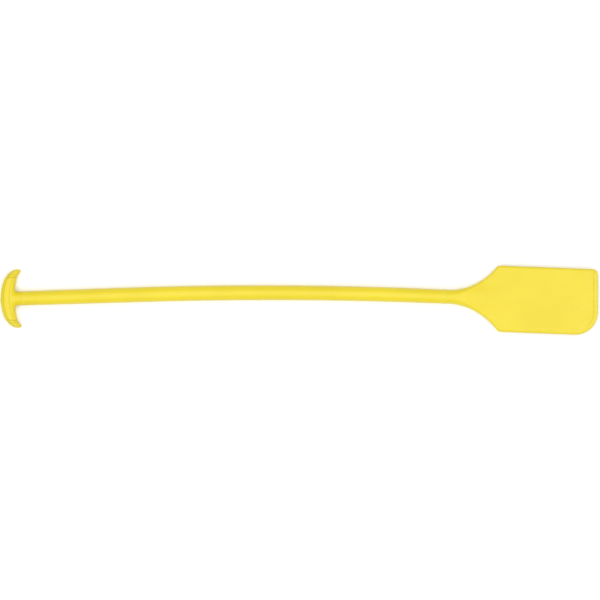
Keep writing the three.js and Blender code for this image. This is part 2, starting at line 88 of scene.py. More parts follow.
# T-grip
GRIP_HALF_DEPTH = 0.0155
GRIP_HALF_HEIGHT = 0.0155
GRIP_BAR_TURN = math.radians(-1)
GRIP_SQUARENESS = 0.8
HORN_THINNING = 0.25
GRIP_SPINE = (
    (GRIP_HALF_DEPTH, 0),
    (GRIP_HALF_DEPTH + 0.0019, 0.036),
    (0.0242, 0.0565),
    (0.0465, 0.0615),
)
COLLAR_START = 0.020
COLLAR_END = 0.046
COLLAR_FLARE = 0.0055
HORN_GROOVES = (0.0475, 0.0532, 0.0590)
HORN_GROOVE_DEPTH = 0.0010
HORN_GROOVE_WIDTH = 0.0009
CAP_RADIUS = 0.0084
CAP_DEPTH = 0.0032
CAP_RIM = 0.0007  # radius of the rounding at its edge
COUNTERBORE_RADIUS = 0.0078
COUNTERBORE_DEPTH = 0.0086
WASHER_THICKNESS = 0.0012
WASHER_BACK = COUNTERBORE_DEPTH - GAP
HEAD_RADIUS = 0.0054
HEAD_HEIGHT = 0.0033
HEAD_BACK = WASHER_BACK - WASHER_THICKNESS - GAP
SCREW_RADIUS = 0.00285
SCREW_LENGTH = 0.040
SCREW_END = HEAD_BACK + SCREW_LENGTH
HEX_SOCKET_RADIUS = 0.0023
HEX_SOCKET_DEPTH = 0.002
INSERT_RADIUS = 0.0045
INSERT_LENGTH = 0.012

# Plugs and O-rings
TUBE_BORE = 0.010
PLUG_RADIUS = TUBE_BORE - 0.0005
PLUG_FLANGE = 0.002
PLUG_GROOVE_HALF = 0.0014
PLUG_GROOVE_RADIUS = PLUG_RADIUS - 0.0021
O_RING_CORD = 0.00105
O_RING_RADIUS = TUBE_BORE - 0.0002 - O_RING_CORD
GRIP_PLUG_START = 0.0203
GRIP_PLUG_LENGTH = 0.036
GRIP_PLUG_GROOVE = 0.029
BLADE_PLUG_LENGTH = 0.046
BLADE_PLUG_GROOVE = 0.042

# Blade, with its origin at its mouth
BLADE_MOUTH = 0.985
BLADE_LENGTH = 0.3365
BLADE_HALF_WIDTH = 0.0732
BLADE_HALF_THICKNESS = 0.006
FLARE_START = 0.008
FLARE_CONTROLS = ((0.052, SHAFT_HALF_WIDTH + 0.0007), (0.091, 0.041))
SHOULDER = (0.112, 0.0687)
SHOULDER_BEND = 0.0034
SHOULDER_END = 0.121
SMALL_CORNER = 0.011
LARGE_CORNER = 0.052
SKEW = math.tan(-BLADE_HEADING)
SPREAD_END = 0.070
WING_FADE_END = 0.092
SPINE_FADE_START = 0.036
SPINE_FADE_END = 0.158
SPINE_HALF_WIDTH = 0.042
SEAM = GAP
SOCKET_DEPTH = 0.0486
PANEL_START = 0.128
PANEL_END = 0.306
PANEL_HALF_WIDTH = 0.060
PANEL_HALF_THICKNESS = 0.0032
PANEL_SMALL_CORNER = 0.008
PANEL_LARGE_CORNER = 0.036
NECK_SCREW_PLACES = (0.014, 0.034)
NECK_SCREW_RADIUS = 0.002
NECK_HEAD_RADIUS = 0.004
NECK_HEAD_HEIGHT = 0.002
NECK_HEAD_Z = -0.0144
NECK_TIP_Z = -0.003
NECK_POINT = 0.002
NECK_SOCKET_RADIUS = 0.0017
NECK_SOCKET_DEPTH = 0.0012

# ---------------------------------------------------------------- fine forms, only here

GRIP_VOXEL = 0.00055
TRIM_RADIUS = 0.06  # of the cutter that ends the collar
OUTER_CREASE = -0.52  # share of the bar's half depth where the flat top gives way to its outer slope
INNER_CREASE = 0.30  # the same for the slope towards the shaft
CREASE_DROP = 0.0009
CREASE_WIDTH = 0.0011
# width of the dark line of painted shade along each crease
CREASE_SHADE_WIDTH = 0.0008
PARTING_HEIGHT = 0.00015  # of the fine line that a two-part mould leaves
PARTING_WIDTH = 0.0006
SOFT_EDGE = 0.0002  # chamfer on the ends of mouldings
END_RINGS = 0.004  # where the even rings of a long piece start from each end
JOINT_GAP = 0.0001  # between two mouldings where they show
SIDE_ROUNDING = 0.006  # how far in the rounding of the blade's sides reaches
LIP_START = 0.0100  # from the tip edge: where the face steps down to the flat lip
LIP_STEP = 0.0014  # length of that step
LIP_HALF_THICKNESS = 0.0038
LIP_TAPER = 0.08
LIP_LEAD = 0.005  # length of the slight slope that leads to the step
LIP_LEAD_DROP = 0.0005
TIP_ROUNDING = 0.0030
CORNER_POINTS = 80  # round each tip corner
MACHINE_PITCH = 0.001  # of the M6 thread
MACHINE_THREAD_DEPTH = 0.0005
FORMING_PITCH = 0.0014  # of the neck screws' thread
FORMING_THREAD_DEPTH = 0.00045
THREAD_LENGTH = 0.026
INSERT_TEETH = 36
KNURL_DEPTH = 0.00035
KNURL_LEAD = 0.0016  # distance along the insert in which a tooth moves on by one
INSERT_WAIST_DEPTH = 0.0006
CRUSH_RIBS = 6
CRUSH_RIB_HEIGHT = 0.0003
FLASH_HEIGHT = 0.00004  # of the line left by an O-ring's mould
FOAM_WAVE = 0.0001
FOAM_ROD_SLACK = 0.001  # between the foam rod and the grip's plug; 1.7 mm is left at the blade's plug
PAST = 0.005  # how far a cutter reaches outside what it cuts

# ---------------------------------------------------------------- studio

WORLD_STRENGTH = 0.58
KEY_SIZE = (5.0, 3.6)
KEY_POWER = 102
KEY_HEIGHT = 2.6
KEY_OFFSET = -0.20  # towards -Y, so that the upper edges are the darker ones
CAMERA_HEIGHT = 8.0
CAMERA_PLACE = (0.0018, 0.0002)
FRAME_MARGIN = 1.0043  # width of the view over the length of the paddle
FLOOR_HALF = 15.0
FLOOR_LEVEL = -0.0002

# ---------------------------------------------------------------- small mathematics


def smoothstep(value, start, end):
    share = np.clip((value - start) / (end - start), 0, 1)
    return share**2 * (3 - 2 * share)


def fade(value, start, end):
    return 1 - smoothstep(value, start, end)


def signed_power(value, power):
    return np.sign(value) * np.abs(value) ** power


def bezier(controls, shares):
    """Points of a Bezier curve at the given shares of it."""
    level = [np.array(point, float) + 0 * shares[:, None] for point in controls]
    while len(level) > 1:
        level = [a + (b - a) * shares[:, None] for a, b in zip(level, level[1:])]
    return level[0]


def tangents(controls, shares):
    slopes = bezier(np.diff(np.array(controls, float), axis=0), shares)
    return slopes / np.linalg.norm(slopes, axis=1)[:, None]


def full_turn(count):
    return 2 * math.pi * np.arange(count) / count


def around(along, radius, angle):
    """Points round the X axis at places along it, as rings where along and radius are columns."""
    return np.stack([along + 0 * angle, radius * np.cos(angle), radius * np.sin(angle)], axis=-1)


def columns(pairs):
    """Pairs of place and radius as two columns."""
    return np.array(pairs, float).T[..., None]


def ridge_of_thread(turn):
    """Height of a thread's flat-topped ridge, 0 to 1, at a share of a turn."""
    return np.clip(1.35 - 2.7 * np.abs(np.mod(turn, 1) - 0.5), 0, 1)


def turn_plan(points, angle, centre=(0, 0)):
    """Points turned about an upright axis through centre."""
    turned = np.array(points, float)
    x = turned[..., 0] - centre[0]
    y = turned[..., 1] - centre[1]
    turned[..., 0] = centre[0] + x * math.cos(angle) - y * math.sin(angle)
    turned[..., 1] = centre[1] + x * math.sin(angle) + y * math.cos(angle)
    return turned


def centre_line(distance):
    """X, Y and heading at distances along the centre line."""
    radius = (BOW_END - BOW_START) / (BLADE_HEADING - GRIP_HEADING)
    before = np.minimum(distance, BOW_START)
    within = np.clip(distance, BOW_START, BOW_END) - BOW_START
    after = np.maximum(distance - BOW_END, 0)
    heading = GRIP_HEADING + within / radius
    x = before * math.cos(GRIP_HEADING)
    x = x + radius * (np.sin(heading) - math.sin(GRIP_HEADING)) + after * math.cos(BLADE_HEADING)
    y = before * math.sin(GRIP_HEADING)
    y = y - radius * (np.cos(heading) - math.cos(GRIP_HEADING)) + after * math.sin(BLADE_HEADING)
    return GRIP_END[0] + x, GRIP_END[1] + y, heading


def bend(points):
    """Points given as distance, sideways and up, in their place on the bowed centre line."""
    x, y, heading = centre_line(points[..., 0])
    sideways = points[..., 1]
    return np.stack(
        [x - np.sin(heading) * sideways, y + np.cos(heading) * sideways, points[..., 2] + AXIS_HEIGHT],
        axis=-1,
    )


def group_matrix(distance):
    """Takes a straight group's own frame to its place on the centre line."""
    x, y, heading = centre_line(distance)
    return Matrix.Translation((x, y, AXIS_HEIGHT)) @ Matrix.Rotation(float(heading), 4, "Z")


# ---------------------------------------------------------------- mesh tools


def mesh_object(name, points, faces):
    mesh = bpy.data.meshes.new(name)
    mesh.from_pydata(np.asarray(points, float).reshape(-1, 3).tolist(), [], faces)
    tidy = bmesh.new()
    tidy.from_mesh(mesh)
    bmesh.ops.remove_doubles(tidy, verts=tidy.verts, dist=1e-8)
    bmesh.ops.recalc_face_normals(tidy, faces=tidy.faces)
    tidy.to_mesh(mesh)
    tidy.free()
    piece = bpy.data.objects.new(name, mesh)
    bpy.context.scene.collection.objects.link(piece)
    return piece


def loft(rings, loop=False):
    """Faces that join closed rings of points one after another. A loft that isn't a loop is capped."""
    count, size = rings.shape[:2]
    faces = []
    for i in range(count if loop else count - 1):
        here = i * size
        there = (i + 1) % count * size
        for j in range(size):
            k = (j + 1) % size
            faces.append((here + j, here + k, there + k, there + j))
    if not loop:
        faces.append(tuple(reversed(range(size))))
        faces.append(tuple(range((count - 1) * size, count * size)))
    return faces


def lathe(name, profile, segments=64, upright=False):
    """A piece turned about the X axis, or about Z, from pairs of place along the axis and radius."""
    points = around(*columns(profile), full_turn(segments))
    if upright:
        points = points[..., [1, 2, 0]]
    return mesh_object(name, points, loft(points))


def rod(name, radius, start, end, segments=128):
    return lathe(name, [(start, 0), (start, radius), (end, radius), (end, 0)], segments)


def settle(piece):
    """Replaces a piece's mesh by what its modifiers make of it."""
    bpy.context.view_layer.update()
    graph = bpy.context.evaluated_depsgraph_get()
    final = bpy.data.meshes.new_from_object(piece.evaluated_get(graph))
    piece.modifiers.clear()
    old = piece.data
    piece.data = final
    bpy.data.meshes.remove(old)
    final.name = piece.name


def cut(piece, *cutters):
    for cutter in cutters:
        difference = piece.modifiers.new("cut", "BOOLEAN")
        difference.operation = "DIFFERENCE"
        difference.solver = "MANIFOLD"
        difference.object = cutter
    settle(piece)
    for cutter in cutters:
        bpy.data.objects.remove(cutter)


def corners(piece):
    points = np.zeros(len(piece.data.vertices) * 3)
    piece.data.vertices.foreach_get("co", points)
    return points.reshape(-1, 3)


def move_corners(piece, points):
    piece.data.vertices.foreach_set("co", np.asarray(points).ravel())
    piece.data.update()


def corner_normals(piece):
    normals = np.zeros(len(piece.data.vertices) * 3)
    piece.data.vertex_normals.foreach_get("vector", normals)
    return normals.reshape(-1, 3)


def relax(piece, weight, rounds):
    """Evens out a mesh: each corner moves towards the middle of its neighbours, as far as weight says."""
    edges = np.zeros(len(piece.data.edges) * 2, int)
    piece.data.edges.foreach_get("vertices", edges)
    first, second = edges.reshape(-1, 2).T
    points = corners(piece)
    count = len(points)
    degree = np.bincount(edges, minlength=count)[:, None]
    for _ in range(rounds):
        total = np.stack(
            [
                np.bincount(first, points[second, axis], count)
                + np.bincount(second, points[first, axis], count)
                for axis in range(3)
            ],
            axis=1,
        )
        points = points + weight * (total / degree - points)
    move_corners(piece, points)


def finish_piece(piece, look, slot, *nodes, at=None, wear=None, painted_shade=None, crease=math.radians(40)):
    """Gives a piece its material, wear, smooth shading and body, and hides the CAD nodes that it stands
    for.

    A piece drawn in a straight group's own frame is taken to its place, where at is the group's distance.
    """
    if at is not None:
        piece.data.transform(group_matrix(at))
    piece.data.shade_smooth()
    piece.data.set_sharp_from_angle(angle=crease)
    piece.data.materials.clear()
    piece.data.materials.append(look)
    # the second attribute carries painted shade for the grip's grooves and creases
    for name, values in (("edge_wear", wear), ("groove_shade", painted_shade)):
        if values is not None:
            layer = piece.data.attributes.new(name, "FLOAT", "POINT")
            layer.data.foreach_set("value", np.asarray(values, np.float32))
    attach(piece, "root")
    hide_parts(*nodes)


# ---------------------------------------------------------------- materials


class Look:
    """A material made of nodes on object coordinates, so that its detail has real sizes."""

    def __init__(self, name):
        self.material = bpy.data.materials.new(name)
        self.material.use_nodes = True
        self.tree = self.material.node_tree
        self.shader = self.tree.nodes["Principled BSDF"]
        self.coordinates = self.tree.nodes.new("ShaderNodeTexCoord").outputs["Object"]

    def node(self, kind, **settings):
        node = self.tree.nodes.new(kind)
        for name, value in settings.items():
            setattr(node, name, value)
        return node

    def link(self, source, target):
        self.tree.links.new(source, target)

    def noise(self, size, detail=3.0, stretch=(1, 1, 1)):
        """Soft noise whose features are about size metres across, stretched along each axis."""
        mapping = self.node("ShaderNodeMapping")
        mapping.inputs["Scale"].default_value = [1 / share for share in stretch]
        texture = self.node("ShaderNodeTexNoise")
        texture.inputs["Scale"].default_value = 1 / size
        texture.inputs["Detail"].default_value = detail
        self.link(self.coordinates, mapping.inputs["Vector"])
        self.link(mapping.outputs["Vector"], texture.inputs["Vector"])
        return texture.outputs["Fac"]

    def spread(self, value, low, high, start=0.35, end=0.65):
        """Takes a value from start to end onto low to high."""
        node = self.node("ShaderNodeMapRange")
        self.link(value, node.inputs["Value"])
        for name, number in (("From Min", start), ("From Max", end), ("To Min", low), ("To Max", high)):
            node.inputs[name].default_value = number
        return node.outputs["Result"]

    def math(self, operation, first, second):
        node = self.node("ShaderNodeMath", operation=operation)
        for socket, value in zip(node.inputs, (first, second)):
            if isinstance(value, (int, float)):
                socket.default_value = value
            else:
                self.link(value, socket)
        return node.outputs["Value"]

    def blend(self, share, first, second):
        """A colour between two others, which are colours or sockets."""
        node = self.node("ShaderNodeMix", data_type="RGBA")
        self.link(share, node.inputs["Factor"])
        for name, colour in (("A", first), ("B", second)):
            socket = next(s for s in node.inputs if s.name == name and s.type == "RGBA")
            if isinstance(colour, tuple):
                socket.default_value = (*colour, 1)
            else:
                self.link(colour, socket)
        return next(s for s in node.outputs if s.type == "RGBA")

    def attribute(self, name):
        return self.node("ShaderNodeAttribute", attribute_name=name).outputs["Fac"]

    def bump(self, height, distance, strength=1.0, after=None):
        node = self.node("ShaderNodeBump")
        node.inputs["Distance"].default_value = distance
        node.inputs["Strength"].default_value = strength
        self.link(height, node.inputs["Height"])
        if after is not None:
            self.link(after, node.inputs["Normal"])
        return node.outputs["Normal"]

    def finish(self, colour, roughness, normal):
        self.link(colour, self.shader.inputs["Base Color"])
        self.link(roughness, self.shader.inputs["Roughness"])
        self.link(normal, self.shader.inputs["Normal"])
        return self.material


def yellow_plastic():
    """Injection-moulded polypropylene: satin, finely pebbled, paler and duller where it is rubbed."""
    look = Look("yellow_moulding")
    look.shader.inputs["IOR"].default_value = 1.49
    wear = look.attribute("edge_wear")
    tone = look.spread(look.noise(0.11), 0, 1)
    colour = look.blend(tone, (0.655, 0.525, 0.004), (0.690, 0.560, 0.008))
    flow = look.noise(0.0022, 2.0, stretch=(42, 1, 1))
    colour = look.blend(look.spread(flow, 0, 0.22), colour, (0.630, 0.490, 0.004))
    patches = look.spread(look.noise(0.0035, 4.0), 0, 1, 0.42, 0.6)
    rubbed = look.math("MULTIPLY", wear, patches)
    colour = look.blend(look.math("MULTIPLY", rubbed, 0.45), colour, (0.72, 0.63, 0.09))
    hairlines = look.spread(look.noise(0.0011, 3.0, stretch=(34, 1, 9)), 0, 1, 0.62, 0.70)
    scratched = look.math("MULTIPLY", hairlines, look.spread(wear, 0.12, 0.9, 0, 1))
    colour = look.blend(look.math("MULTIPLY", scratched, 0.35), colour, (0.75, 0.67, 0.15))
    # Painted shade: a dark yellow-brown darkens the horns' grooves and the grip's creases, in broken
    # streaks.
    shade_breakup = look.spread(look.noise(0.004, 3.0), 0.55, 1.0)
    shade_share = look.math("MULTIPLY", look.attribute("groove_shade"), shade_breakup)
    colour = look.blend(look.math("MULTIPLY", shade_share, 0.50), colour, (0.30, 0.215, 0.020))
    roughness = look.spread(look.noise(0.016, 4.0), 0.36, 0.45)
    roughness = look.math("ADD", roughness, look.math("MULTIPLY", rubbed, 0.16))
    roughness = look.math("ADD", roughness, look.math("MULTIPLY", scratched, 0.1))
    normal = look.bump(look.noise(0.0010, 2.0), 0.00010, 0.5)
    normal = look.bump(look.noise(0.009, 2.0), 0.00035, 0.35, normal)
    normal = look.bump(scratched, -0.00006, 0.6, normal)
    return look.finish(colour, roughness, normal)


def plain_moulding(name, dark, light, roughness, grain, relief):
    """Nylon, rubber and the like: clouded colour and a fine matt grain."""
    look = Look(name)
    colour = look.blend(look.spread(look.noise(0.006), 0, 1), dark, light)
    spread = look.spread(look.noise(0.003, 4.0), roughness - 0.07, roughness + 0.07)
    normal = look.bump(look.noise(grain, 3.0), relief, 0.6)
    return look.finish(colour, spread, normal)


def foam(name):
    """Closed-cell foam: rounded cells a millimetre or two across."""
    look = Look(name)
    cells = look.node("ShaderNodeTexVoronoi")
    cells.inputs["Scale"].default_value = 1 / 0.0016
    look.link(look.coordinates, cells.inputs["Vector"])
    distance = cells.outputs["Distance"]
    # Painted shade: the colour darkens where the cells meet, in the hollows that the bump makes.
    colour = look.blend(look.spread(distance, 0, 1, 0.1, 0.7), (0.93, 0.92, 0.88), (0.80, 0.79, 0.74))
    roughness = look.spread(look.noise(0.004), 0.85, 0.97)
    return look.finish(colour, roughness, look.bump(distance, -0.0004, 0.8))


def glass_fibre(name):
    """Pultruded tube: lengthways rovings under a thin resin skin."""
    look = Look(name)
    rovings = look.noise(0.0008, 4.0, stretch=(60, 1, 1))
    colour = look.blend(look.spread(rovings, 0, 1), (0.50, 0.55, 0.34), (0.66, 0.69, 0.50))
    roughness = look.spread(look.noise(0.005, 4.0), 0.30, 0.52)
    return look.finish(colour, roughness, look.bump(rovings, 0.0001, 0.7))


def metal(name, dark, light, roughness):
    """Turned metal: fine tool marks and a little tarnish."""
    look = Look(name)
    look.shader.inputs["Metallic"].default_value = 1
    colour = look.blend(look.spread(look.noise(0.003, 4.0), 0, 1), dark, light)
    marks = look.noise(0.00035, 3.0, stretch=(1, 6, 6))
    spread = look.spread(look.noise(0.002, 4.0), roughness - 0.06, roughness + 0.1)
    return look.finish(colour, spread, look.bump(marks, 0.00003, 0.7))


YELLOW = yellow_plastic()
NYLON = plain_moulding("white_nylon", (0.76, 0.73, 0.62), (0.84, 0.82, 0.74), 0.45, 0.0006, 0.00008)
RUBBER = plain_moulding(
    "black_rubber", (0.010, 0.010, 0.011), (0.022, 0.022, 0.024), 0.62, 0.0004, 0.00006,
)
FOAM = foam("white_foam")
GLASS_FIBRE = glass_fibre("glass_fibre")
STEEL = metal("stainless_steel", (0.50, 0.51, 0.52), (0.66, 0.67, 0.68), 0.28)
BRASS = metal("brass", (0.50, 0.29, 0.05), (0.66, 0.42, 0.10), 0.30)

# ---------------------------------------------------------------- T-grip


def bar_depth(reach):
    return GRIP_HALF_DEPTH * np.sqrt(1 - reach**2) * (1 - HORN_THINNING * reach**2)


def grip_bar(name, rings=220, segments=128):
    """The crescent bar alone, as a ball whose two poles are drawn out into the horns."""
    reach = -np.cos(np.linspace(0, math.pi, rings + 2)[1:-1])
    size = np.abs(reach)
    middle = bezier(GRIP_SPINE, size)
    tangent = tangents(GRIP_SPINE, size)
    angle = full_turn(segments)
    height = GRIP_HALF_HEIGHT * np.sqrt(1 - size**4)
    across = bar_depth(size)[:, None] * signed_power(np.cos(angle), GRIP_SQUARENESS)
    up = height[:, None] * signed_power(np.sin(angle), GRIP_SQUARENESS)
    x = middle[:, :1] + tangent[:, 1:] * across
    y = np.where(reach < 0, -1, 1)[:, None] * (middle[:, 1:] - tangent[:, :1] * across)
    points = turn_plan(np.stack([x, y, up], axis=-1), GRIP_BAR_TURN, (GRIP_HALF_DEPTH, 0))
    return mesh_object(name, points, loft(points))


def grip_collar(name, rings=24, segments=96):
    """The collar, a little longer than it ends up, with a hollow fillet on each side."""
    share = np.linspace(0, 1.12, rings)[:, None]
    half_width = SHAFT_HALF_WIDTH + COLLAR_FLARE * np.maximum(1 - share, 0) ** 2
    x = COLLAR_START + (COLLAR_END - COLLAR_START) * share
    points = around(x, half_width, full_turn(segments))
    points[..., 2] *= SHAFT_HALF_HEIGHT / half_width
    return mesh_object(name, points, loft(points))


def place_on_bar(points):
    """For points in the grip's frame: reach along the spine, distance across it, and height of Y."""
    local = turn_plan(points, -GRIP_BAR_TURN, (GRIP_HALF_DEPTH, 0))
    plan = np.stack([local[:, 0], np.abs(local[:, 1])], axis=1)
    shares = np.linspace(0, 1, 200)
    spine = bezier(GRIP_SPINE, shares)
    apart = np.linalg.norm(plan[:, None, :] - spine[None], axis=2)
    nearest = apart.argmin(axis=1)
    tangent = tangents(GRIP_SPINE, shares)[nearest]
    offset = plan - spine[nearest]
    across = offset[:, 0] * tangent[:, 1] - offset[:, 1] * tangent[:, 0]
    return shares[nearest], across, plan[:, 1]


def bump_at(value, place, width):
    return np.exp(-(((value - place) / width) ** 2))


def horn_grooves(sideways):
    return sum(bump_at(sideways, place, HORN_GROOVE_WIDTH) for place in HORN_GROOVES)


def crease_fade(points, sideways):
    """One over the bar, falling to nothing along the collar and towards the horns' tips."""
    near_axis = fade(np.abs(points[:, 1]), 0.016, 0.024)
    return (1 - near_axis * smoothstep(points[:, 0], 0.030, 0.040)) * fade(sideways, 0.043, 0.058)


def carve_grip(piece):
    """Moves the grip's corners: two creases along the bar, grooves over the horns, a parting line."""
    points = corners(piece)
    normals = corner_normals(piece)
    reach, across, sideways = place_on_bar(points)
    depth = bar_depth(reach)
    half = CREASE_WIDTH / 2
    slopes = fade(across, OUTER_CREASE * depth - half, OUTER_CREASE * depth + half)
    slopes += smoothstep(across, INNER_CREASE * depth - half, INNER_CREASE * depth + half)
    facing = np.abs(normals[:, 2])
    drop = CREASE_DROP * slopes * facing * crease_fade(points, sideways)
    drop += HORN_GROOVE_DEPTH * horn_grooves(sideways)
    drop -= PARTING_HEIGHT * bump_at(points[:, 2], 0, PARTING_WIDTH) * (1 - facing)
    move_corners(piece, points - normals * drop[:, None])


def grip_painted_shade(points):
    """Painted shade: dark lines in the grooves over the horns and along both creases."""
    reach, across, sideways = place_on_bar(points)
    depth = bar_depth(reach)
    lines = bump_at(across, OUTER_CREASE * depth, CREASE_SHADE_WIDTH)
    lines += bump_at(across, INNER_CREASE * depth, CREASE_SHADE_WIDTH)
    return np.clip(horn_grooves(sideways) + 0.6 * lines * crease_fade(points, sideways), 0, 1)


def grip_wear(points):
    """Hands polish the bar's outer side and the horns."""
    across, sideways = place_on_bar(points)[1:]
    horns = smoothstep(sideways, 0.040, 0.062)
    outside = smoothstep(-across, 0.006, 0.016)
    return np.clip(0.75 * horns + 0.45 * outside, 0, 1)


def t_grip():
    piece = grip_bar("t_grip_moulding")
    collar = grip_collar("collar")
    join = piece.modifiers.new("join", "BOOLEAN")
    join.operation = "UNION"
    join.solver = "MANIFOLD"
    join.object = collar
    remesh = piece.modifiers.new("even", "REMESH")
    remesh.mode = "VOXEL"
    remesh.voxel_size = GRIP_VOXEL
    settle(piece)
    bpy.data.objects.remove(collar)
    relax(piece, 0.5, 3)
    points = corners(piece)
    joint = smoothstep(points[:, 0], 0.019, 0.026) * fade(points[:, 0], 0.041, 0.046)
    joint *= fade(np.abs(points[:, 1]), 0.023, 0.029)
    relax(piece, 0.6 * joint[:, None], 34)
    carve_grip(piece)
    cut(
        piece,
        rod("trim", TRIM_RADIUS, COLLAR_END, COLLAR_END + 6 * PAST),
        rod("cap_seat", CAP_RADIUS + GAP, -PAST, CAP_DEPTH + GAP),
        rod("counterbore", COUNTERBORE_RADIUS, -PAST, COUNTERBORE_DEPTH),
        rod("clearance", SCREW_RADIUS + 2 * GAP, 0, COLLAR_END),
        rod("socket", SOCKET_RADIUS, GRIP_PLUG_START - GAP, COLLAR_END + 2 * PAST),
    )
    wear = grip_wear(corners(piece))
    # painted shade for the grooves over the horns and along both creases
    painted_shade = grip_painted_shade(corners(piece))
    finish_piece(piece, YELLOW, "yellow_plastic", "t_grip", at=0, wear=wear, painted_shade=painted_shade)


def grip_cap():
    """A domed button that carries the bar's own surface on, with a softened rim."""
    bar = grip_bar("bar")
    tree = BVHTree.FromPolygons(
        [vertex.co for vertex in bar.data.vertices],
        [polygon.vertices for polygon in bar.data.polygons],
    )
    radii = CAP_RADIUS * np.array([0.0001, *np.linspace(0.08, 0.9, 14), 0.93, 0.955, 0.975, 0.99, 1.0])
    angle = full_turn(96)
    rings = []
    for radius in radii:
        sunk = CAP_RIM * (1 - math.sqrt(1 - max(0, (radius - CAP_RADIUS + CAP_RIM) / CAP_RIM) ** 2))
        ring = []
        for turn in angle:
            start = Vector((-0.02, radius * math.cos(turn), radius * math.sin(turn)))
            surface = tree.ray_cast(start, Vector((1, 0, 0)))[0]
            ring.append((surface.x + sunk, start.y, start.z))
        rings.append(ring)
    for radius in (CAP_RADIUS, CAP_RADIUS - 0.0004):
        depth = CAP_DEPTH if radius < CAP_RADIUS else CAP_DEPTH - 0.0004
        rings.append([(depth, radius * math.cos(turn), radius * math.sin(turn)) for turn in angle])
    bpy.data.objects.remove(bar)
    points = np.array(rings)
    piece = mesh_object("grip_button", points, loft(points))
    wear = smoothstep(np.hypot(corners(piece)[:, 1], corners(piece)[:, 2]), 0.6 * CAP_RADIUS, CAP_RADIUS)
    finish_piece(piece, YELLOW, "yellow_plastic", "grip_button_cap", at=0, wear=0.8 * wear)


# ---------------------------------------------------------------- shaft jacket


def places_with_soft_ends(start, end, soft, count):
    """A column of places between two ends, and how far the surface stands back at each end's chamfer."""
    places = [start, start + soft, *np.linspace(start + END_RINGS, end - END_RINGS, count), end - soft, end]
    places = np.array(places)[:, None]
    return places, soft * (np.isclose(places, start) | np.isclose(places, end))


def shaft_jacket():
    start = COLLAR_END + JOINT_GAP
    end = BLADE_MOUTH - JOINT_GAP
    fine = np.array([-4, -2, -1, 0, 1, 2, 4]) * 0.012  # turns close together at the parting line
    sides = np.concatenate([fine, math.pi + fine])
    even = np.linspace(0, 2 * math.pi, 97)[:-1]
    clear = [turn for turn in even if abs(math.remainder(turn, math.pi)) > 0.06]
    angle = np.sort(np.mod(np.concatenate([sides, clear]), 2 * math.pi))
    distance, inset = places_with_soft_ends(start, end, SOFT_EDGE, 170)
    share = (distance - start) / (end - start)
    half_width = SHAFT_HALF_WIDTH + SHAFT_SWELL * np.sin(math.pi * share**SWELL_SHIFT) - inset
    half_height = SHAFT_HALF_HEIGHT - inset
    parting = PARTING_HEIGHT * bump_at(np.sin(angle) * SHAFT_HALF_WIDTH, 0, PARTING_WIDTH)
    outside = around(distance, half_width + parting, angle)
    outside[..., 2] = half_height * np.sin(angle)
    inside = around(distance, SOCKET_RADIUS + 0 * distance, angle)
    points = np.concatenate([outside, inside[::-1]])
    piece = mesh_object("shaft_jacket_moulding", bend(points), loft(points, loop=True))
    reach = np.abs(corners(piece)[:, 0] - (jacket_low.x + jacket_high.x) / 2)
    half_length = (jacket_high.x - jacket_low.x) / 2
    wear = 0.2 + 0.5 * smoothstep(reach, half_length - 0.02, half_length)
    finish_piece(piece, YELLOW, "yellow_plastic", "shaft_jacket", wear=wear)


# ---------------------------------------------------------------- blade


def blade_edge(corner):
    """One edge of the blade seen from above, from its mouth to its tip, drawn on the +Y side."""
    straight_end = BLADE_LENGTH - corner
    flare = [(FLARE_START, SHAFT_HALF_WIDTH), *FLARE_CONTROLS, SHOULDER]
    corner_control = (SHOULDER[0] + SHOULDER_BEND, BLADE_HALF_WIDTH)
    shoulder = [SHOULDER, corner_control, (SHOULDER_END, BLADE_HALF_WIDTH)]
    angle = np.linspace(math.pi / 2, 0, CORNER_POINTS)
    centre = (straight_end, BLADE_HALF_WIDTH - corner)
    tip_corner = np.stack([centre[0] + corner * np.cos(angle), centre[1] + corner * np.sin(angle)], axis=1)
    return np.concatenate([
        [(0, SHAFT_HALF_WIDTH)],
        bezier(flare, np.linspace(0, 1, 90)[:-1]),
        bezier(shoulder, np.linspace(0, 1, 20)),
        tip_corner,
    ])


def skewed(along, across):
    """Shoulders and tip run square to the whole paddle, so places along the blade shift with across."""
    return along - SKEW * across * smoothstep(along, FLARE_START, SPREAD_END)


UPPER_EDGE = blade_edge(SMALL_CORNER)
LOWER_EDGE = blade_edge(LARGE_CORNER) * (1, -1)


def outline():
    """The blade's rim as points, and how much each belongs to the tip rather than to a side."""
    tip = np.linspace(UPPER_EDGE[-1], LOWER_EDGE[-1], 60)[1:-1]
    rim = np.concatenate([UPPER_EDGE, tip, LOWER_EDGE[::-1]])
    corner = smoothstep(np.linspace(0, 1, CORNER_POINTS), 0, 1)
    side = np.zeros(len(UPPER_EDGE) - CORNER_POINTS)
    tipness = np.concatenate([side, corner, np.ones(len(tip)), corner[::-1], side])
    return np.stack([skewed(rim[:, 0], rim[:, 1]), rim[:, 1]], axis=1), tipness


RIM, RIM_TIPNESS = outline()


def rim_distance(plan):
    """Distance of points from the blade's rim, and the tipness of the nearest stretch of it."""
    start = RIM[:-1]
    step = RIM[1:] - start
    length = (step**2).sum(axis=1)
    best = np.full(len(plan), np.inf)
    tipness = np.zeros(len(plan))
    for part in np.array_split(np.arange(len(plan)), 40):
        offset = plan[part, None, :] - start[None]
        share = np.clip((offset * step).sum(axis=2) / np.maximum(length, 1e-18), 0, 1)
        apart = np.linalg.norm(offset - share[..., None] * step, axis=2)
        nearest = apart.argmin(axis=1)
        rows = np.arange(len(part))
        best[part] = apart[rows, nearest]
        near_share = share[rows, nearest]
        tipness[part] = RIM_TIPNESS[nearest] * (1 - near_share) + RIM_TIPNESS[nearest + 1] * near_share
    return best, tipness


def quarter_round(distance, reach):
    return np.sqrt(1 - (1 - np.clip(distance / reach, 0, 1)) ** 2)


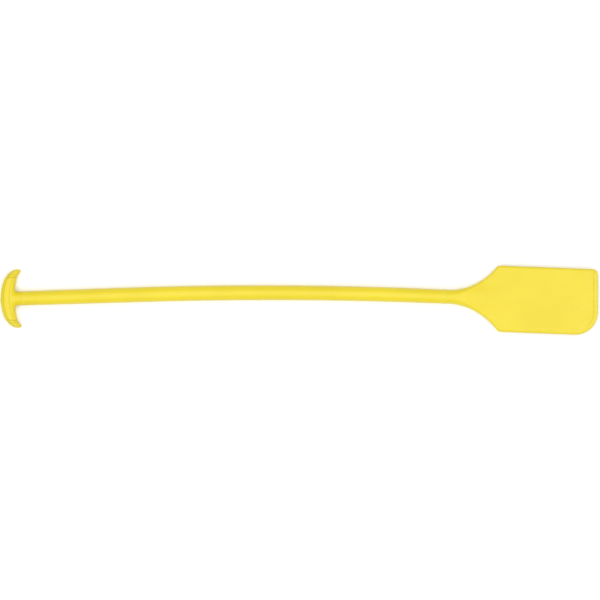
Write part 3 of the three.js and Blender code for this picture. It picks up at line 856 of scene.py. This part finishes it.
def blade_half_thickness(along, across):
    """Before the rim is rounded: thin wings, and a spine that carries the shaft's thickness further."""
    extra = SHAFT_HALF_HEIGHT - BLADE_HALF_THICKNESS
    wing = BLADE_HALF_THICKNESS + extra * fade(along, FLARE_START, WING_FADE_END)
    spine = BLADE_HALF_THICKNESS + extra * fade(along, SPINE_FADE_START, SPINE_FADE_END)
    from_spine = np.minimum(np.abs(across) / SPINE_HALF_WIDTH, 1)
    return wing + (spine - wing) * np.cos(math.pi / 2 * from_spine) ** 2


def ring_places():
    """Where rings of corners stand along the blade: close together at the tip's step and rounding."""
    step_start = BLADE_LENGTH - LIP_START - 0.0005
    step_end = BLADE_LENGTH - LIP_START + LIP_STEP + 0.0005
    round_start = BLADE_LENGTH - TIP_ROUNDING
    stretches = [
        np.linspace(0, FLARE_START, 5),
        np.linspace(FLARE_START, SHOULDER[0], 64),
        np.linspace(SHOULDER[0], SHOULDER_END, 14),
        np.linspace(SHOULDER_END, BLADE_LENGTH - LARGE_CORNER, 56),
        np.linspace(BLADE_LENGTH - LARGE_CORNER, step_start, 48),
        np.linspace(step_start, step_end, 14),
        np.linspace(step_end, round_start, 10),
        BLADE_LENGTH - TIP_ROUNDING * np.linspace(1, 0, 26) ** 2,
    ]
    return np.unique(np.round(np.concatenate(stretches), 8))


def blade_surface():
    """The blade's upper face as rings of points from lower to upper edge, with Z as half thickness."""
    half = np.linspace(0, 1, 64) ** 1.8
    share = np.concatenate([half / 2, 1 - half[-2::-1] / 2])
    places = ring_places()
    upper = np.interp(places, UPPER_EDGE[:, 0], UPPER_EDGE[:, 1])
    lower = np.interp(places, LOWER_EDGE[:, 0], LOWER_EDGE[:, 1])
    along = places[:, None] + 0 * share
    across = lower[:, None] + (upper - lower)[:, None] * share
    plan = np.stack([skewed(along, across), across], axis=-1)
    distance, tipness = rim_distance(plan.reshape(-1, 2))
    distance = distance.reshape(along.shape)
    tipness = tipness.reshape(along.shape)
    half_width = ((upper - lower) / 2)[:, None]
    spread = smoothstep(along, FLARE_START, SPREAD_END)
    reach = np.minimum(half_width, SHAFT_HALF_WIDTH + (SIDE_ROUNDING - SHAFT_HALF_WIDTH) * spread)
    full = blade_half_thickness(along, across)
    side = full * quarter_round(distance, reach)
    face = full - LIP_LEAD_DROP * fade(distance, LIP_START, LIP_START + LIP_LEAD)
    lip = LIP_HALF_THICKNESS - LIP_TAPER * (LIP_START - distance)
    stepped = lip + (face - lip) * smoothstep(distance, LIP_START - LIP_STEP, LIP_START)
    tip = stepped * quarter_round(distance, TIP_ROUNDING)
    height = side + (tip - side) * tipness
    return np.concatenate([plan, height[..., None]], axis=-1)


def shell_object(name, side):
    """One half of the blade, closed by a flat face at the seam. Side is 1 for front and -1 for back."""
    surface = blade_surface()
    rings, size = surface.shape[:2]
    lift = 1 - (SEAM / 2) / SHAFT_HALF_HEIGHT
    surface[..., 2] = side * (SEAM / 2 + lift * surface[..., 2])
    faces = []
    for i in range(rings - 1):
        for j in range(size - 1):
            here = i * size + j
            faces.append((here, here + 1, here + size + 1, here + size))
    for i in range(rings - 2):
        low = i * size
        faces.append((low, low + size, low + 2 * size - 1, low + size - 1))
    last = (rings - 2) * size
    faces.append((last, *range(last + size, last + 2 * size), last + size - 1))
    faces.append(tuple(range(size)))
    return mesh_object(name, surface, faces)


def foam_block(name, clearance):
    """A flat block with one small and one large corner at the tip end: the foam panel or its pocket."""
    half = PANEL_HALF_WIDTH + clearance
    start = PANEL_START - clearance
    end = PANEL_END + clearance
    small = PANEL_SMALL_CORNER
    large = PANEL_LARGE_CORNER
    centres = (
        (start + small, small - half, small, 2),
        (end - large, large - half, large, 3),
        (end - small, half - small, small, 0),
        (start + small, half - small, small, 1),
    )
    points = []
    for x, y, radius, quarter in centres:
        for angle in np.linspace(0, math.pi / 2, 25) + quarter * math.pi / 2:
            points.append((x + radius * math.cos(angle), y + radius * math.sin(angle)))
    plan = np.array(points)
    half_height = PANEL_HALF_THICKNESS + clearance
    rings = np.array([np.column_stack([plan, np.full(len(plan), z)]) for z in (-half_height, half_height)])
    return mesh_object(name, rings, loft(rings))


def neck_screw_holes():
    return [neck_screw_hole(f"hole_{index}", along) for index, along in enumerate(NECK_SCREW_PLACES)]


def neck_screw_hole(name, along):
    below = -2 * SHAFT_HALF_HEIGHT
    profile = [
        (below, 0),
        (below, NECK_HEAD_RADIUS + GAP),
        (NECK_HEAD_Z, NECK_HEAD_RADIUS + GAP),
        (NECK_HEAD_Z + NECK_HEAD_HEIGHT, NECK_SCREW_RADIUS + GAP),
        (NECK_TIP_Z - NECK_POINT + GAP, NECK_SCREW_RADIUS + GAP),
        (NECK_TIP_Z + GAP, 0),
    ]
    hole = lathe(name, profile, 64, upright=True)
    hole.data.transform(Matrix.Translation((along, 0, 0)))
    return hole


def blade_shell(name, node, side):
    piece = shell_object(name, side)
    cutters = [rod("socket", SOCKET_RADIUS, -PAST, SOCKET_DEPTH), foam_block("pocket", GAP)]
    if side < 0:
        cutters += neck_screw_holes()
    cut(piece, *cutters)
    points = corners(piece)
    distance, tipness = rim_distance(points[:, :2])
    near_rim = np.exp(-distance / 0.0035) * (0.35 + 0.65 * tipness)
    near_tip = 0.35 * smoothstep(points[:, 0], 0.20, BLADE_LENGTH)
    wear = np.clip(near_rim + near_tip, 0, 1)
    finish_piece(piece, YELLOW, "yellow_plastic", node, at=BLADE_MOUTH, wear=wear)


# ---------------------------------------------------------------- inner pieces


def turned_ring(name, section, segments=96):
    """A ring turned about the X axis from a closed section of places along it and radii."""
    points = around(*columns(section), full_turn(segments))
    return mesh_object(name, points, loft(points, loop=True))


def threaded(name, before, start, end, crest, depth, pitch, after, segments=48):
    """A turned piece with a screw thread between two plain stretches, all along the X axis."""
    angle = full_turn(segments)
    place = np.arange(start, end, pitch / 10)[:, None]
    cut_in = depth * smoothstep(place, start, start + 1.5 * pitch)
    thread = crest - cut_in * (1 - ridge_of_thread(place / pitch - angle / (2 * math.pi)))
    plain = [around(*columns(stretch), angle) for stretch in (before, after)]
    points = np.concatenate([plain[0], around(place, thread, angle), plain[1]])
    return mesh_object(name, points, loft(points))


def hex_cutter(radius, start, depth):
    """The six-sided space of a key socket, along X."""
    return rod("key", radius, start - PAST, start + depth, 6)


def arc(centre, radius, start, end, count=8):
    """Places along an axis and radii round a quarter or so of a circle."""
    return [
        (centre[0] + radius * math.cos(turn), centre[1] + radius * math.sin(turn))
        for turn in np.radians(np.linspace(start, end, count))
    ]


def grip_screw():
    front = HEAD_BACK - HEAD_HEIGHT
    dome = 0.0021
    before = [(front, 0), (front, 0.0028), (front, HEAD_RADIUS - dome)]
    before += arc((front + dome, HEAD_RADIUS - dome), dome, 170, 90)
    before += [(HEAD_BACK - 0.0002, HEAD_RADIUS), (HEAD_BACK, HEAD_RADIUS - 0.0002)]
    before += [(HEAD_BACK, SCREW_RADIUS + 0.0001), (HEAD_BACK + 0.0002, SCREW_RADIUS)]
    after = [(SCREW_END - 0.0008, SCREW_RADIUS - MACHINE_THREAD_DEPTH)]
    after += [(SCREW_END, SCREW_RADIUS - 0.0012), (SCREW_END, 0)]
    piece = threaded(
        "grip_screw_m6", before, SCREW_END - THREAD_LENGTH, SCREW_END - MACHINE_PITCH, SCREW_RADIUS,
        MACHINE_THREAD_DEPTH, MACHINE_PITCH, after,
    )
    cut(piece, hex_cutter(HEX_SOCKET_RADIUS, front, HEX_SOCKET_DEPTH))
    finish_piece(piece, STEEL, "stainless_steel", "grip_screw", at=0, crease=math.radians(32))


def grip_washer():
    inner = SCREW_RADIUS + GAP
    outer = COUNTERBORE_RADIUS - GAP
    front = WASHER_BACK - WASHER_THICKNESS
    burr = 0.00012
    section = [(front + 0.0003, outer), *arc((front + 0.0003, outer - 0.0003), 0.0003, 90, 180, 6)]
    section += [(front, inner + 0.0002), (front + 0.0002, inner), (WASHER_BACK - burr, inner)]
    section += [(WASHER_BACK, inner + burr), (WASHER_BACK, outer - burr), (WASHER_BACK - burr, outer)]
    piece = turned_ring("screw_washer", section)
    finish_piece(piece, STEEL, "stainless_steel", "grip_screw_washer", at=0)


def grip_insert():
    """A brass insert with two knurled bands, a groove between them and a thread in its bore."""
    start = GRIP_PLUG_START + GAP
    end = start + INSERT_LENGTH
    chamfer = 0.0003
    angle = full_turn(144)
    turns = angle / (2 * math.pi)
    even = np.linspace(start + 0.0005, end - 0.0005, 90)
    places = np.array([start, start + chamfer, *even, end - chamfer, end])[:, None]
    share = (places - start) / INSERT_LENGTH
    waist = bump_at(share, 0.5, 0.09)
    band = smoothstep(share, 0.06, 0.10) * fade(share, 0.90, 0.94) * (1 - np.minimum(waist * 1.6, 1))
    slant = np.where(share < 0.5, 1, -1) * places / KNURL_LEAD
    teeth = np.abs(np.mod(INSERT_TEETH * turns + slant, 1) - 0.5) * 2
    outer = INSERT_RADIUS - KNURL_DEPTH * band * teeth - INSERT_WAIST_DEPTH * waist
    outer = outer - np.where((share < 0.001) | (share > 0.999), chamfer, 0)
    inside = places[::-1]
    thread = ridge_of_thread(inside / MACHINE_PITCH - turns)
    away = smoothstep(inside, start, start + 2 * chamfer) * fade(inside, end - 2 * chamfer, end)
    bore = SCREW_RADIUS + GAP + 0.0004 * (1 - thread) * away
    points = np.concatenate([around(places, outer, angle), around(inside, bore, angle)])
    piece = mesh_object("knurled_insert", points, loft(points, loop=True))
    finish_piece(piece, BRASS, "insert_brass", "grip_threaded_insert", at=0, crease=math.radians(28))


def plug_outside(flange_start, direction, length, groove):
    """The outline of a plug's stem, groove and flange from its flange face inwards."""
    soft = 0.0004
    left = groove - PLUG_GROOVE_HALF
    right = groove + PLUG_GROOVE_HALF
    profile = [(0.0, TUBE_RADIUS - soft), (soft, TUBE_RADIUS), (PLUG_FLANGE - soft, TUBE_RADIUS)]
    profile += [(PLUG_FLANGE, TUBE_RADIUS - soft), (PLUG_FLANGE, PLUG_RADIUS + soft)]
    profile += [(PLUG_FLANGE + soft, PLUG_RADIUS), (left - soft / 2, PLUG_RADIUS)]
    profile += [(left, PLUG_RADIUS - soft / 2), (left, PLUG_GROOVE_RADIUS + soft)]
    profile += [(left + soft, PLUG_GROOVE_RADIUS), (right - soft, PLUG_GROOVE_RADIUS)]
    profile += [(right, PLUG_GROOVE_RADIUS + soft), (right, PLUG_RADIUS - soft / 2)]
    profile += [(right + soft / 2, PLUG_RADIUS), (length - 0.0015, PLUG_RADIUS)]
    profile += [(length - 0.0007, PLUG_RADIUS - 0.0004), (length, PLUG_RADIUS - 0.0013)]
    profile += [(length, 0.002), (length - 0.0004, 0.0018), (length - 0.0004, 0)]
    return [(flange_start + direction * place, radius) for place, radius in profile]


def crush_ribs(piece, start, end):
    """Raises low ribs along a plug's stem, which grip the inside of the tube."""
    points = corners(piece)
    radius = np.hypot(points[:, 1], points[:, 2])
    turn = np.arctan2(points[:, 2], points[:, 1])
    ridge = bump_at(np.abs(np.mod(turn * CRUSH_RIBS / (2 * math.pi), 1) - 0.5), 0, 0.05)
    stem = np.isclose(radius, PLUG_RADIUS, atol=1e-5) & (points[:, 0] > start) & (points[:, 0] < end)
    factor = 1 + CRUSH_RIB_HEIGHT * ridge * stem / np.maximum(radius, 1e-4)
    points[:, 1:] *= factor[:, None]
    move_corners(piece, points)


def grip_plug():
    seat = INSERT_RADIUS + GAP
    run = SCREW_RADIUS + GAP
    step = GRIP_PLUG_START + INSERT_LENGTH + 2 * GAP
    bottom = SCREW_END + 0.001
    inside = [(bottom + 0.001, 0), (bottom, run), (step, run), (step, seat)]
    inside += [(GRIP_PLUG_START + 0.0004, seat), (GRIP_PLUG_START, seat + 0.0004)]
    outside = plug_outside(GRIP_PLUG_START, 1, GRIP_PLUG_LENGTH, GRIP_PLUG_GROOVE)
    piece = lathe("grip_plug_moulding", inside + outside, 144)
    crush_ribs(piece, GRIP_PLUG_START + PLUG_FLANGE, GRIP_PLUG_START + GRIP_PLUG_GROOVE - 0.003)
    finish_piece(piece, NYLON, "white_nylon", "grip_end_plug", at=0)


def blade_plug():
    flange = SOCKET_DEPTH - GAP
    profile = [(flange - 0.0005, 0), (flange - 0.0005, 0.004), (flange, 0.0045)]
    profile += plug_outside(flange, -1, BLADE_PLUG_LENGTH, BLADE_PLUG_GROOVE)
    piece = lathe("blade_plug_moulding", profile[::-1], 144)
    crush_ribs(piece, flange - BLADE_PLUG_GROOVE + 0.003, flange - PLUG_FLANGE)
    cut(piece, *neck_screw_holes())
    finish_piece(piece, NYLON, "white_nylon", "blade_end_plug", at=BLADE_MOUTH)


def o_ring(name, node, along, group_distance):
    """A round cord with the fine flash line of its mould inside and outside."""
    turn = full_turn(40)
    cord = O_RING_CORD - FLASH_HEIGHT * (1 - np.cos(turn) ** 20)
    section = np.column_stack([along + cord * np.sin(turn), O_RING_RADIUS + cord * np.cos(turn)])
    piece = turned_ring(name, section, 160)
    finish_piece(piece, RUBBER, "black_rubber", node, at=group_distance)


def neck_screw(number, along):
    """A countersunk thread-forming screw with a key socket, driven upwards from the back."""
    head_end = NECK_HEAD_Z + NECK_HEAD_HEIGHT
    rim = 0.00025
    before = [(NECK_HEAD_Z, 0), (NECK_HEAD_Z, 0.0022), (NECK_HEAD_Z, NECK_HEAD_RADIUS - 2 * rim)]
    before += [(NECK_HEAD_Z + lift, NECK_HEAD_RADIUS - rim) for lift in (rim / 2, rim)]
    before += [(head_end, NECK_SCREW_RADIUS)]
    shank = NECK_TIP_Z - NECK_POINT
    after = [(shank, NECK_SCREW_RADIUS - 0.0005), (NECK_TIP_Z - 0.0006, 0.0006)]
    after += [(NECK_TIP_Z - 0.0001, 0.00015), (NECK_TIP_Z, 0)]
    piece = threaded(
        f"neck_screw_{number}_fine", before, head_end + 0.0006, shank - 0.0002, NECK_SCREW_RADIUS,
        FORMING_THREAD_DEPTH, FORMING_PITCH, after,
    )
    cut(piece, hex_cutter(NECK_SOCKET_RADIUS, NECK_HEAD_Z, NECK_SOCKET_DEPTH))
    upright = Matrix.Rotation(math.radians(-90), 4, "Y")
    piece.data.transform(group_matrix(BLADE_MOUTH) @ Matrix.Translation((along, 0, 0)) @ upright)
    finish_piece(piece, STEEL, "stainless_steel", f"neck_screw_{number}", crease=math.radians(32))


def core_tube():
    start = GRIP_PLUG_START + PLUG_FLANGE + GAP
    end = BLADE_MOUTH + SOCKET_DEPTH - PLUG_FLANGE - 2 * GAP
    distance, inset = places_with_soft_ends(start, end, 1.5 * SOFT_EDGE, 150)
    outside = around(distance, TUBE_RADIUS - inset, full_turn(96))
    inside = around(distance, TUBE_BORE + inset, full_turn(96))
    points = np.concatenate([outside, inside[::-1]])
    piece = mesh_object("glass_fibre_tube", bend(points), loft(points, loop=True))
    holes = neck_screw_holes()
    for hole in holes:
        hole.data.transform(group_matrix(BLADE_MOUTH))
    cut(piece, *holes)
    finish_piece(piece, GLASS_FIBRE, "glass_fibre", "core_tube")


def uneven(points):
    """Gentle waves of a fifth of a millimetre, as cut or moulded foam has."""
    x, y, z = np.moveaxis(points, -1, 0)
    waves = np.sin(310 * x + 170 * y) + np.sin(190 * x - 260 * z + 1.3) * np.cos(230 * y + 0.7)
    return FOAM_WAVE * waves


def foam_rod():
    start = GRIP_PLUG_START + GRIP_PLUG_LENGTH + FOAM_ROD_SLACK
    end = BLADE_MOUTH + SOCKET_DEPTH - BLADE_PLUG_LENGTH - 2 * FOAM_ROD_SLACK
    soft = 0.0012
    turn = np.linspace(0, math.pi / 2, 8)
    from_end = soft * (1 - np.cos(turn))
    rounding = soft * (1 - np.sin(turn))
    even = np.linspace(start + END_RINGS, end - END_RINGS, 220)
    distance = np.concatenate([start + from_end, even, (end - from_end)[::-1]])[:, None]
    inset = np.concatenate([rounding, 0 * even, rounding[::-1]])[:, None]
    full = TUBE_BORE - GAP
    points = around(distance, full - 2 * FOAM_WAVE - inset, full_turn(72))
    points[..., 1:] *= 1 + (uneven(points) / full)[..., None]
    piece = mesh_object("buoyancy_foam_rod", bend(points), loft(points))
    finish_piece(piece, FOAM, "white_foam", "shaft_foam_rod")


def foam_panel():
    piece = foam_block("buoyancy_foam_panel", 0)
    soften = piece.modifiers.new("soften", "BEVEL")
    soften.width = 0.0009
    soften.segments = 4
    soften.limit_method = "ANGLE"
    settle(piece)
    finish_piece(piece, FOAM, "white_foam", "blade_foam_panel", at=BLADE_MOUTH)


# ---------------------------------------------------------------- floor, light and camera


def floor():
    look = Look("pale_floor")
    colour = look.blend(look.spread(look.noise(0.5), 0, 1), (0.93, 0.93, 0.93), (0.95, 0.95, 0.95))
    look.finish(colour, look.spread(look.noise(0.3), 0.8, 0.9), look.bump(look.noise(0.002), 0.00005, 0.2))
    signs = ((-1, -1), (1, -1), (1, 1), (-1, 1))
    points = [(x * FLOOR_HALF, y * FLOOR_HALF, FLOOR_LEVEL) for x, y in signs]
    plane = mesh_object("studio_floor", points, [(0, 1, 2, 3)])
    plane.data.materials.append(look.material)


def area_light(name, place, size, power):
    light = bpy.data.lights.new(name, "AREA")
    light.shape = "RECTANGLE"
    light.size, light.size_y = size
    light.energy = power
    lamp = bpy.data.objects.new(name, light)
    lamp.location = place
    lamp.rotation_euler = (-Vector(place)).to_track_quat("-Z", "Y").to_euler()
    lamp.visible_camera = False
    bpy.context.scene.collection.objects.link(lamp)


def studio():
    scene = bpy.context.scene
    scene.view_settings.view_transform = "Standard"
    world = bpy.data.worlds.new("studio")
    world.use_nodes = True
    world.node_tree.nodes["Background"].inputs["Color"].default_value = (1, 1, 1, 1)
    world.node_tree.nodes["Background"].inputs["Strength"].default_value = WORLD_STRENGTH
    scene.world = world
    area_light("overhead_softbox", (0, KEY_OFFSET, KEY_HEIGHT), KEY_SIZE, KEY_POWER)


def camera():
    """Straight above, with a long lens from far away, so that the paddle fills the frame's width."""
    lens = bpy.data.cameras.new("camera")
    lens.sensor_width = 36
    view_width = FRAME_MARGIN * (CAD_HIGH.x - CAD_LOW.x)
    lens.lens = lens.sensor_width * (CAMERA_HEIGHT - AXIS_HEIGHT) / view_width
    lens.clip_end = 100
    viewer = bpy.data.objects.new("camera", lens)
    viewer.location = (*CAMERA_PLACE, CAMERA_HEIGHT)
    bpy.context.scene.collection.objects.link(viewer)
    bpy.context.scene.camera = viewer


t_grip()
grip_cap()
shaft_jacket()
blade_shell("blade_front_moulding", "blade_front_shell", 1)
blade_shell("blade_back_moulding", "blade_back_shell", -1)
grip_screw()
grip_washer()
grip_insert()
grip_plug()
o_ring("grip_o_ring_fine", "grip_end_o_ring", GRIP_PLUG_START + GRIP_PLUG_GROOVE, 0)
core_tube()
foam_rod()
foam_panel()
blade_plug()
o_ring("blade_o_ring_fine", "blade_end_o_ring", SOCKET_DEPTH - GAP - BLADE_PLUG_GROOVE, BLADE_MOUTH)
for screw_index, screw_place in enumerate(NECK_SCREW_PLACES):
    neck_screw(screw_index + 1, screw_place)
floor()
studio()
camera()
